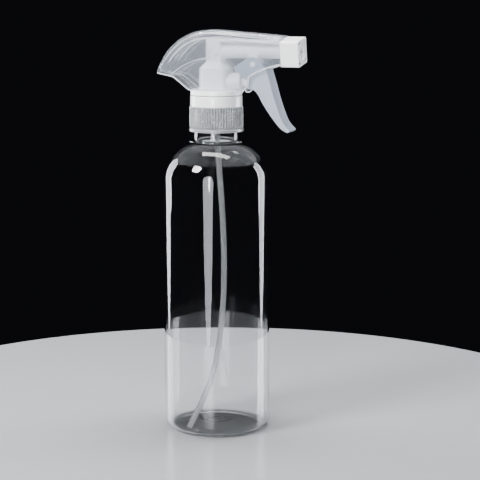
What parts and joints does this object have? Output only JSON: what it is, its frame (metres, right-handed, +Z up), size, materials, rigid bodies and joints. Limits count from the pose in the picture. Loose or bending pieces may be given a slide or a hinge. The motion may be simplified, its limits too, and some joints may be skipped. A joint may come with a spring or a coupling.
{
  "type": "trigger spray bottle",
  "caption": "Clear round bottle with a domed shoulder and a milky screw-on trigger sprayer with a duck-tail cover, square nozzle and curved dip tube.",
  "frame": {"origin": "centre of the ring that the bottle stands on, on the bottle's axis", "axes": "+Z up along the bottle's axis, +X the way it sprays, +Y to the sprayer's left"},
  "size_m": [0.0887, 0.0636, 0.2395],
  "materials": {
    "clear_pet": "gloss, transparent PET",
    "milky_pp": "translucent natural polypropylene",
    "shroud_pp": "thin translucent natural polypropylene",
    "white_pp": "near opaque white polypropylene",
    "tube_pe": "translucent polyethylene",
    "foam": "foamed polyethylene",
    "soft_pe": "soft polyethylene",
    "steel": "stainless",
    "ball_glass": "polished"
  },
  "bodies": {
    "bottle": {"bottle": "clear_pet"},
    "head": {"pump_body": "milky_pp", "shroud": "shroud_pp", "tube_retainer": "white_pp", "neck_gasket": "foam", "dip_tube": "tube_pe", "swirl_core": "white_pp", "return_spring": "steel", "outlet_spring": "steel"},
    "closure": {"closure": "milky_pp"},
    "trigger": {"trigger": "milky_pp"},
    "piston": {"piston": "white_pp", "piston_seal": "soft_pe"},
    "nozzle": {"nozzle_cap": "white_pp", "orifice_insert": "white_pp"},
    "inlet_ball": {"inlet_ball": "ball_glass"},
    "outlet_valve": {"outlet_valve": "soft_pe"}
  },
  "joints": [
    {"name": "head_rise", "type": "slide", "parent": "bottle", "child": "head", "axis": [0, 0, 1], "range_m": [0, 0.00635]},
    {"name": "closure_turn", "type": "hinge", "parent": "head", "child": "closure", "pos_m": [0, 0, 0.19], "axis": [0, 0, 1], "range_deg": [0, 540]},
    {"name": "trigger_pull", "type": "hinge", "parent": "head", "child": "trigger", "pos_m": [0.025, 0, 0.21997], "axis": [0, 1, 0], "range_deg": [0, 22], "stiffness_Nm_per_rad": 0.12, "springref_deg": -28.65},
    {"name": "piston_stroke", "type": "slide", "parent": "head", "child": "piston", "axis": [-1, 0, 0], "range_m": [0, 0.00468], "deforming": ["return_spring"]},
    {"name": "nozzle_turn", "type": "hinge", "parent": "head", "child": "nozzle", "pos_m": [0.045, 0, 0.22727], "axis": [1, 0, 0], "continuous": true},
    {"name": "inlet_ball_lift", "type": "slide", "parent": "head", "child": "inlet_ball", "axis": [0, 0, 1], "range_m": [0, 0.0012]},
    {"name": "outlet_valve_lift", "type": "slide", "parent": "head", "child": "outlet_valve", "axis": [1, 0, 0], "range_m": [0, 0.0008], "stiffness_N_per_m": 60, "springref_m": -0.003, "deforming": ["outlet_spring"]}
  ],
  "couplings": [
    {"joint": "closure_turn", "follows": "head_rise", "rad_per_m": 1484.3},
    {"joint": "piston_stroke", "follows": "trigger_pull", "m_per_rad": 0.012152}
  ]
}
